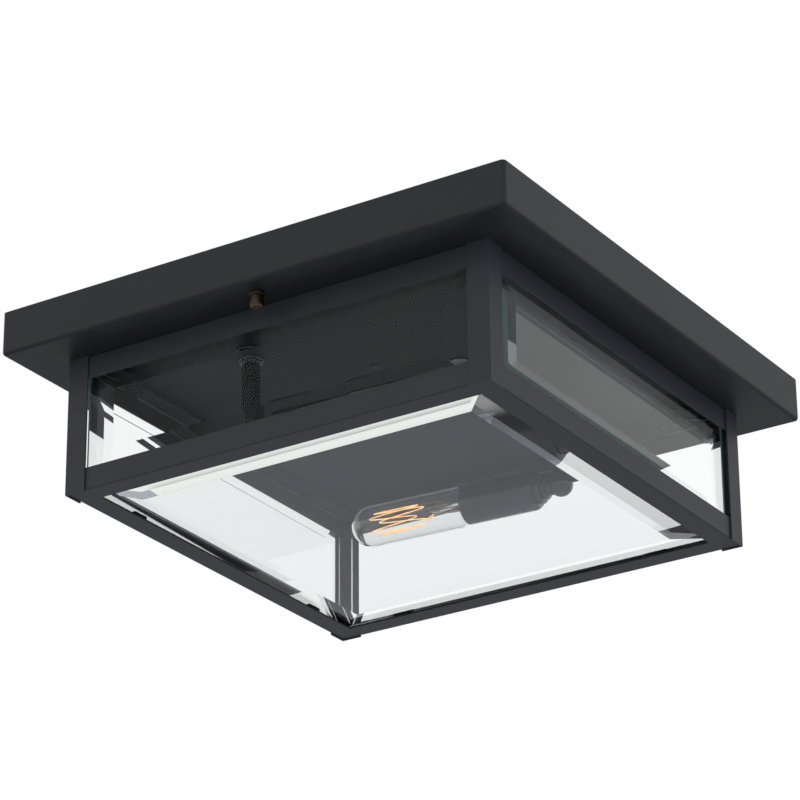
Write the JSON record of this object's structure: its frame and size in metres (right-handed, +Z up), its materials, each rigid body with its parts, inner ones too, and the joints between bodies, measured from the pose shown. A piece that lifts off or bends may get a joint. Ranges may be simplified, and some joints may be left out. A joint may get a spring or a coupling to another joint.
{
  "type": "porch ceiling lantern",
  "caption": "Square flush-mounted porch ceiling lantern: a flat black canopy pan over a steel cage of bevelled glass panes, with horizontal tube lamps inside.",
  "frame": {"origin": "middle of the ceiling bar's upper face, which lies on the ceiling in the plane of the canopy pan's rim", "axes": "+Z up into the ceiling, +X to the right and -Y to the front; the lamps lie along X and the ceiling bar along Y"},
  "size_m": [0.305, 0.305, 0.1],
  "materials": {
    "black_coat": "fine satin black powder coat on sheet steel",
    "zinc_plate": "zinc plated",
    "green_steel": "green passivated",
    "bare_copper": "bare copper wire",
    "connector_plastic": "ribbed plastic",
    "dark_bronze": "darkened bronze",
    "socket_brass": "bright",
    "contact_metal": "solder and black glass",
    "insulator": "moulded",
    "wire_cover": "smooth",
    "black_rubber": "matte",
    "pane_glass": "clear, bevelled, polished",
    "lamp_glass": "clear, thin",
    "filament_wire": "lit filament wire"
  },
  "bodies": {
    "ceiling_mount": {"crossbar": "zinc_plate", "studs": "zinc_plate", "stud_nuts": "zinc_plate", "stand_offs": "zinc_plate", "plate_screws": "black_coat", "back_plate": "black_coat", "ground_screw": "green_steel", "ground_wire": "bare_copper", "wire_connectors": "connector_plastic", "stem_nuts": "zinc_plate", "stem_collars": "black_coat", "stem_a": "black_coat", "elbow_a": "black_coat", "socket_cup_a": "black_coat", "socket_insulator_a": "insulator", "screw_shell_a": "socket_brass", "socket_contact_a": "socket_brass", "leads_a": "wire_cover", "stem_b": "black_coat", "elbow_b": "black_coat", "socket_cup_b": "black_coat", "socket_insulator_b": "insulator", "screw_shell_b": "socket_brass", "socket_contact_b": "socket_brass", "leads_b": "wire_cover"},
    "cage": {"canopy_pan": "black_coat", "post_front_left": "black_coat", "post_front_right": "black_coat", "post_back_right": "black_coat", "post_back_left": "black_coat", "top_rail_front": "black_coat", "top_rail_right": "black_coat", "top_rail_back": "black_coat", "top_rail_left": "black_coat", "bottom_rail_front": "black_coat", "bottom_rail_right": "black_coat", "bottom_rail_back": "black_coat", "bottom_rail_left": "black_coat", "side_pane_front": "pane_glass", "side_pane_right": "pane_glass", "side_pane_back": "pane_glass", "side_pane_left": "pane_glass", "bottom_pane": "pane_glass", "pane_clips": "black_coat", "side_pane_blocks": "black_rubber", "bottom_pane_pads": "black_rubber"},
    "cap_nut_front": {"cap_nut_front": "dark_bronze"},
    "cap_nut_back": {"cap_nut_back": "dark_bronze"},
    "bulb_a": {"bulb_glass_a": "lamp_glass", "bulb_base_a": "socket_brass", "bulb_contact_a": "contact_metal", "glass_mount_a": "lamp_glass", "filament_a": "filament_wire"},
    "bulb_b": {"bulb_glass_b": "lamp_glass", "bulb_base_b": "socket_brass", "bulb_contact_b": "contact_metal", "glass_mount_b": "lamp_glass", "filament_b": "filament_wire"}
  },
  "joints": [
    {"name": "cage_drop", "type": "slide", "parent": "ceiling_mount", "child": "cage", "axis": [0, 0, -1], "range_m": [0, 0.11]},
    {"name": "cap_nut_front_turn", "type": "hinge", "parent": "cage", "child": "cap_nut_front", "pos_m": [0, -0.14, -0.029], "axis": [0, 0, 1], "continuous": true},
    {"name": "cap_nut_back_turn", "type": "hinge", "parent": "cage", "child": "cap_nut_back", "pos_m": [0, 0.14, -0.029], "axis": [0, 0, 1], "continuous": true},
    {"name": "bulb_a_turn", "type": "hinge", "parent": "ceiling_mount", "child": "bulb_a", "pos_m": [0.0488, 0.073, -0.0616], "axis": [-0.9976, -0.0698, 0], "continuous": true},
    {"name": "bulb_b_turn", "type": "hinge", "parent": "ceiling_mount", "child": "bulb_b", "pos_m": [-0.0488, -0.073, -0.0616], "axis": [0.9976, 0.0698, 0], "continuous": true}
  ]
}
